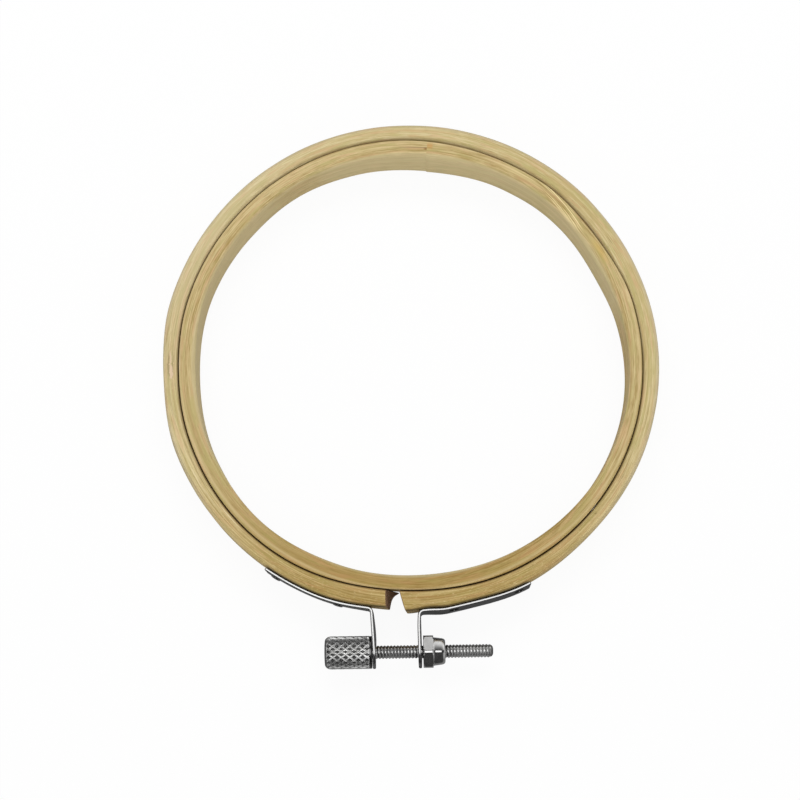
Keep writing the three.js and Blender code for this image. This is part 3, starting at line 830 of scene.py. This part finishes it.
def plated_sheet(name, face, edge):
    """Plated strip: dull dark faces with cloudy patches, and edges above and below painted lighter, a painted
    highlight along the strip's edges.
    """
    shader = Shader.named(name)
    colour, rubbed = clouded(shader, face, 0.35)
    _, up, _ = from_screw(shader)
    # Painted highlight: the strip's upper and lower edges take the lighter edge tint.
    rim = up.size().ramp(STRIP_WIDTH / 2 - 0.07, STRIP_WIDTH / 2 - 0.01)
    colour = shader.mix(rim, colour, edge)
    return shader.finish(
        base_color=colour, metallic=1.0, roughness=0.16 + rubbed * 0.14, specular_tint=(0.35, 0.35, 0.35, 1),
        normal=shader.bump(rubbed, 0.12, 0.00004))


def plated_nut(name, tint):
    """Plating with cloudy patches and fine rubbing."""
    shader = Shader.named(name)
    colour, rubbed = clouded(shader, tint, 0.2)
    return shader.finish(
        base_color=colour, metallic=1.0, roughness=0.1 + rubbed * 0.14,
        normal=shader.bump(rubbed, 0.1, 0.00005))


# Stage

def add_lamp(name, place, size, power):
    """A soft rectangular lamp that faces the origin. Shiny things reflect the sky alone."""
    lamp = bpy.data.lights.new(name, "AREA")
    lamp.shape = "RECTANGLE"
    lamp.size, lamp.size_y = size
    lamp.energy = power
    holder = bpy.data.objects.new(name, lamp)
    holder.location = place
    holder.rotation_mode = "QUATERNION"
    holder.rotation_quaternion = (-Vector(place)).to_track_quat("-Z", "Y")
    holder.visible_glossy = False
    bpy.context.scene.collection.objects.link(holder)


def rays(shader):
    """Whether a ray comes from the camera, off something shiny or through glass."""
    return [shader.add("LightPath", {}, {}, key) for key in (
        "Is Camera Ray", "Is Glossy Ray", "Is Transmission Ray")]


def floor():
    """A wide pale floor that the hoop lies on: nearly plain white to the camera, and grey to metal."""
    shader = Shader.named("pale_floor")
    plain = shader.add("BsdfDiffuse", {}, {"Color": (0.9, 0.9, 0.9, 1)})
    camera_ray, glossy, clear = rays(shader)
    seen = camera_ray.most(clear) * FLOOR_WHITE + glossy * 0.9
    strength = 1 - glossy * (1 - FLOOR_IN_METAL)
    white = shader.add("Emission", {}, {"Color": (1, 1, 1, 1), "Strength": strength})
    mixed = shader.add("MixShader", {}, {0: seen, 1: plain, 2: white})
    shader.add("OutputMaterial", {}, {"Surface": mixed})
    reach, below = 1.5, -0.00002
    corners = [(-reach, -reach, below), (reach, -reach, below), (reach, reach, below), (-reach, reach, below)]
    mesh = bpy.data.meshes.new("floor")
    mesh.from_pydata(corners, [], [(0, 1, 2, 3)])
    mesh.materials.append(shader.owner)
    ground = bpy.data.objects.new("floor", mesh)
    bpy.context.scene.collection.objects.link(ground)


def sky():
    """The studio: soft light from the front for dull surfaces. Shiny ones see a white backdrop at the
    back, a bright lamp overhead, two pale sides and a dim room, and the camera sees plain white."""
    world = bpy.data.worlds.new("studio")
    bpy.context.scene.world = world
    shader = Shader(world)
    side, back, up = shader.split(shader.add("TexCoord", {}, {}, 0))
    camera_ray, glossy, clear = rays(shader)
    soft = back.ramp(0.8, -0.8) * (SKY_FRONT - SKY_BACK) + SKY_BACK
    room = ROOM + back.ramp(0.3, 0.75) * up.near(0.42, 0.42) * BACKDROP + up.ramp(0.91, 0.97) * CEILING
    room = room + side.size().ramp(0.5, 0.8) * up.near(0.25, 0.4) * SIDES
    strength = soft + glossy * (room - soft)
    strength = strength + camera_ray.most(clear) * (1 - strength)
    light = shader.add("Background", {}, {"Color": (1, 1, 1, 1), "Strength": strength})
    shader.add("OutputWorld", {}, {"Surface": light})


def camera():
    """The photograph's view: above the clamp and looking a little towards the back."""
    lens = bpy.data.cameras.new("camera")
    lens.lens = 73.43
    lens.sensor_width = 36.0
    lens.clip_start = 0.01
    holder = bpy.data.objects.new("camera", lens)
    place = Vector((-3.581, -78.849, 356.217)) * MM
    forward = Vector((0.003749, 0.213481, -0.976940)).normalized()
    upward = Vector((0.014192, 0.976837, 0.213513))
    right = forward.cross(upward).normalized()
    upward = right.cross(forward)
    turn = Matrix((right, upward, -forward)).transposed()
    holder.matrix_world = Matrix.Translation(place) @ turn.to_4x4()
    bpy.context.scene.collection.objects.link(holder)
    bpy.context.scene.camera = holder


# The hoop, put together

def dress(piece, node, body, material):
    """Gives a piece its material, hides the CAD node that it stands for, and ties it to what it moves with.
    """
    piece.data.materials.append(material)
    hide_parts(node)
    if body:
        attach(piece, body)


camera()
floor()
sky()
add_lamp("overhead", (0.0, 0.62, 0.75), (1.0, 0.5), 4.9)
add_lamp("front", (0.0, -0.15, 0.8), (0.7, 0.06), 0.5)

outer_bamboo = bamboo("outer_bamboo", srgb(214, 198, 152), srgb(188, 168, 116), outer_marks)
inner_bamboo = bamboo("inner_bamboo", srgb(210, 190, 141), srgb(167, 143, 90), inner_marks, 0.5)
sheet_metal = plated_sheet("plated_strip", (0.38, 0.38, 0.385), (0.46, 0.46, 0.455))
nail_metal = plated_nut("nail_metal", (0.2, 0.2, 0.2))
knob_metal = plated_screw("knob_metal", (0.92, 0.92, 0.91), 3.1, 0.22, 0.18, KNOB_X[1] - 0.6)
rod_metal = plated_screw("rod_metal", (0.72, 0.72, 0.71), 1.16, 0.18, 0.2)
nut_metal = plated_nut("nut_metal", (0.70, 0.70, 0.69))

ring = outer_ring()
dress(ring, "outer_ring", None, outer_bamboo)
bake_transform(ring)

dress(inner_ring(), "inner_ring", "inner_hoop", inner_bamboo)
for side, word, body in ((-1, "left", "outer_frame"), (1, "right", "clamp_end")):
    dress(bracket(f"{word}_bracket_sheet", side), f"{word}_bracket", body, sheet_metal)
    foot_start = bracket_path(side)[2]
    for number, place in enumerate(BRAD_PLACES):
        turn = foot_start + side * place / (OUTER_RING[1] + SEAT_GAP)
        nail = brad(f"{word}_brad_{number + 1}_nail", turn, side)
        dress(nail, f"{word}_brad_{number + 1}", body, nail_metal)
dress(knob(), "knurled_knob", "thumb_screw", knob_metal)
dress(rod(), "threaded_rod", "thumb_screw", rod_metal)
dress(nut(), "lock_nut", "clamp_end", nut_metal)

bpy.context.scene.view_settings.view_transform = "Standard"
